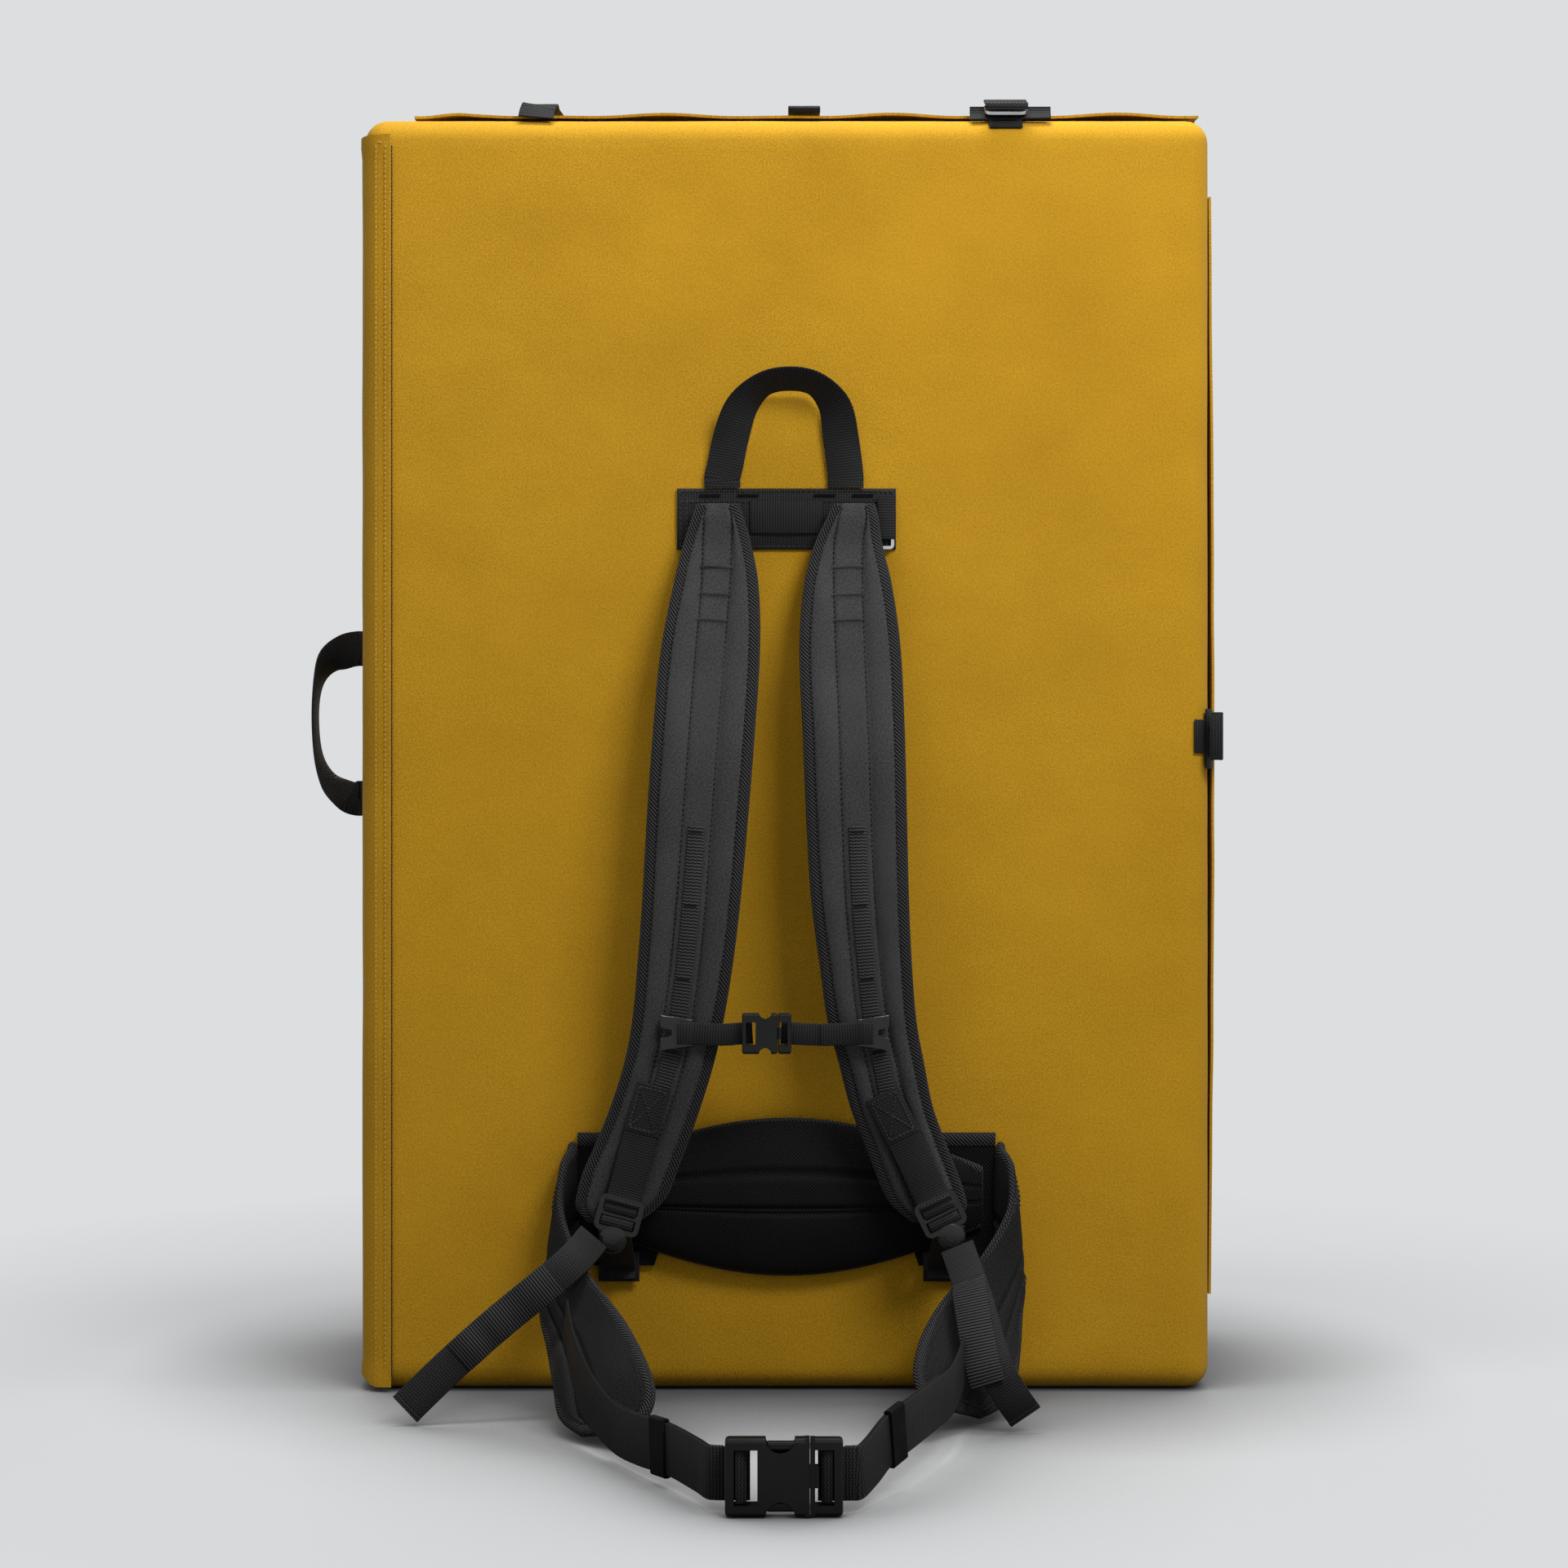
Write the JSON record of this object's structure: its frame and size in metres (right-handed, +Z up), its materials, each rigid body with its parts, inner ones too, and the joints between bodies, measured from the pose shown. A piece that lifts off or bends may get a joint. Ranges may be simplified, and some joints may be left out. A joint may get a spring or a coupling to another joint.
{
  "type": "bouldering crash pad",
  "caption": "Folding foam landing pad in a twill cover, closed for carrying, with padded shoulder straps, lumbar pad and hip belt.",
  "frame": {"origin": "middle of the harness half's bottom face, which the pad stands on", "axes": "+Z up along the pad's height, +Y from the harness to the back half, +X to the right of someone who looks at the harness"},
  "size_m": [0.7693, 0.6371, 1.0807],
  "materials": {
    "cover_twill": "matte mustard twill",
    "closed_cell_foam": "matte grey closed-cell foam",
    "open_cell_foam": "matte pale open-cell foam",
    "padding_twill": "matte charcoal twill",
    "buckle_plastic": "satin black plastic",
    "hook_steel": "plain bright steel",
    "black_webbing": "woven black webbing"
  },
  "bodies": {
    "harness_half": {"front_cover": "cover_twill", "front_base_foam": "closed_cell_foam", "front_core_foam": "open_cell_foam", "front_landing_foam": "closed_cell_foam", "front_spine_lap": "cover_twill", "front_hinge_tape": "black_webbing", "yoke_band": "black_webbing", "left_ring": "hook_steel", "right_ring": "hook_steel", "lumbar_base": "padding_twill", "lumbar_pad": "padding_twill", "left_anchor_tab": "black_webbing", "right_anchor_tab": "black_webbing", "left_adjuster": "black_webbing", "right_adjuster": "black_webbing", "top_hook_anchor": "black_webbing", "side_hook_anchor": "black_webbing"},
    "back_half": {"back_cover": "cover_twill", "back_base_foam": "closed_cell_foam", "back_core_foam": "open_cell_foam", "back_landing_foam": "closed_cell_foam", "back_spine_lap": "cover_twill", "back_hinge_tape": "black_webbing"},
    "spine_front": {"spine_front_panel": "cover_twill"},
    "spine_back": {"spine_back_panel": "cover_twill"},
    "carry_handle": {"side_handle": "black_webbing"},
    "top_closure": {"top_flap": "cover_twill", "top_flap_tab": "black_webbing", "top_closing_strap": "black_webbing"},
    "top_hook_body": {"top_hook": "hook_steel"},
    "side_closure": {"side_flap": "cover_twill", "side_closing_strap": "black_webbing"},
    "side_hook_body": {"side_hook": "hook_steel"},
    "left_strap": {"left_strap_pad": "padding_twill", "left_strap_rail": "black_webbing", "left_lock_strap": "black_webbing"},
    "right_strap": {"right_strap_pad": "padding_twill", "right_strap_rail": "black_webbing", "right_lock_strap": "black_webbing"},
    "left_lock": {"left_ladder_lock": "buckle_plastic"},
    "right_lock": {"right_ladder_lock": "buckle_plastic"},
    "left_tail_body": {"left_tail": "black_webbing"},
    "right_tail_body": {"right_tail": "black_webbing"},
    "sternum_strap": {"left_sternum_slider": "buckle_plastic", "right_sternum_slider": "buckle_plastic", "left_sternum_webbing": "black_webbing", "right_sternum_webbing": "black_webbing", "sternum_buckle_housing": "buckle_plastic"},
    "sternum_plug": {"sternum_buckle_plug": "buckle_plastic"},
    "hip_belt": {"left_hip_wing": "padding_twill", "right_hip_wing": "padding_twill", "left_belt_webbing": "black_webbing", "right_belt_webbing": "black_webbing", "left_belt_keeper": "black_webbing", "right_belt_keeper": "black_webbing", "belt_buckle_housing": "buckle_plastic"},
    "belt_plug": {"belt_buckle_plug": "buckle_plastic"},
    "upper_latch": {"belt_upper_latch": "buckle_plastic"},
    "lower_latch": {"belt_lower_latch": "buckle_plastic"},
    "grab_loop_body": {"grab_loop": "black_webbing"}
  },
  "joints": [
    {"name": "fold", "type": "hinge", "parent": "harness_half", "child": "back_half", "pos_m": [-0.3603, 0.06375, 0], "axis": [0, 0, 1], "range_deg": [0, 180]},
    {"name": "spine_front_fold", "type": "hinge", "parent": "harness_half", "child": "spine_front", "pos_m": [-0.359, -0.0435, 0], "axis": [0, 0, 1], "range_deg": [0, 180]},
    {"name": "spine_back_fold", "type": "hinge", "parent": "back_half", "child": "spine_back", "pos_m": [-0.359, 0.171, 0], "axis": [0, 0, 1], "range_deg": [-180, 0]},
    {"name": "handle_swing", "type": "hinge", "parent": "spine_front", "child": "carry_handle", "pos_m": [-0.3603, 0, 0.563], "axis": [0, 0, 1], "range_deg": [-8, 8]},
    {"name": "top_flap_open", "type": "hinge", "parent": "back_half", "child": "top_closure", "pos_m": [0, 0.171, 1.0683], "axis": [-1, 0, 0], "range_deg": [0, 180]},
    {"name": "top_hook_lift", "type": "hinge", "parent": "top_closure", "child": "top_hook_body", "pos_m": [0.184, -0.04649, 1.0796], "axis": [-1, 0, 0], "range_deg": [0, 45]},
    {"name": "side_flap_open", "type": "hinge", "parent": "back_half", "child": "side_closure", "pos_m": [0.3568, 0.171, 0], "axis": [0, 0, 1], "range_deg": [0, 180]},
    {"name": "side_hook_lift", "type": "hinge", "parent": "side_closure", "child": "side_hook_body", "pos_m": [0.3619, -0.04655, 0.548], "axis": [0, 0, 1], "range_deg": [0, 45]},
    {"name": "strap_lift", "type": "hinge", "parent": "harness_half", "child": "left_strap", "pos_m": [0, -0.0751, 0.741], "axis": [-1, 0, 0], "range_deg": [0, 15]},
    {"name": "right_strap_lift", "type": "hinge", "parent": "harness_half", "child": "right_strap", "pos_m": [0, -0.0751, 0.741], "axis": [-1, 0, 0], "range_deg": [0, 15]},
    {"name": "left_lock_tilt", "type": "hinge", "parent": "left_strap", "child": "left_lock", "pos_m": [-0.133, -0.1175, 0.169], "axis": [-0.9659, 0, 0.2588], "range_deg": [0, 15]},
    {"name": "right_lock_tilt", "type": "hinge", "parent": "right_strap", "child": "right_lock", "pos_m": [0.12, -0.1175, 0.169], "axis": [-0.8988, 0, -0.4384], "range_deg": [0, 15]},
    {"name": "left_tail_swing", "type": "hinge", "parent": "left_lock", "child": "left_tail_body", "pos_m": [0, -0.12036, 0.169], "axis": [-1, 0, 0], "range_deg": [0, 30]},
    {"name": "right_tail_swing", "type": "hinge", "parent": "right_lock", "child": "right_tail_body", "pos_m": [0, -0.12077, 0.169], "axis": [-1, 0, 0], "range_deg": [0, 30]},
    {"name": "sternum_height", "type": "slide", "parent": "left_strap", "child": "sternum_strap", "axis": [0, -0.064, 0.9979], "range_m": [-0.02, 0.02]},
    {"name": "sternum_release", "type": "slide", "parent": "sternum_strap", "child": "sternum_plug", "axis": [1, 0, 0], "range_m": [0, 0.018]},
    {"name": "belt_lift", "type": "hinge", "parent": "harness_half", "child": "hip_belt", "pos_m": [0, -0.0638, 0.208], "axis": [-1, 0, 0], "range_deg": [0, 15]},
    {"name": "belt_release", "type": "slide", "parent": "hip_belt", "child": "belt_plug", "axis": [1, 0, 0], "range_m": [0, 0.022]},
    {"name": "upper_latch_press", "type": "hinge", "parent": "belt_plug", "child": "upper_latch", "pos_m": [0.016, -0.4375, 0.0488], "axis": [0, -1, 0], "range_deg": [0, 6]},
    {"name": "lower_latch_press", "type": "hinge", "parent": "belt_plug", "child": "lower_latch", "pos_m": [0.016, -0.4375, 0.0064], "axis": [0, 1, 0], "range_deg": [0, 6]},
    {"name": "grab_loop_fall", "type": "hinge", "parent": "harness_half", "child": "grab_loop_body", "pos_m": [0, -0.066, 0.7553], "axis": [1, 0, 0], "range_deg": [0, 90]}
  ],
  "couplings": [
    {"joint": "spine_front_fold", "follows": "fold", "ratio": 1},
    {"joint": "spine_back_fold", "follows": "fold", "ratio": -1},
    {"joint": "right_strap_lift", "follows": "strap_lift", "ratio": 1},
    {"joint": "left_tail_swing", "follows": "belt_lift", "ratio": 2},
    {"joint": "right_tail_swing", "follows": "belt_lift", "ratio": 2},
    {"joint": "lower_latch_press", "follows": "upper_latch_press", "ratio": 1}
  ]
}
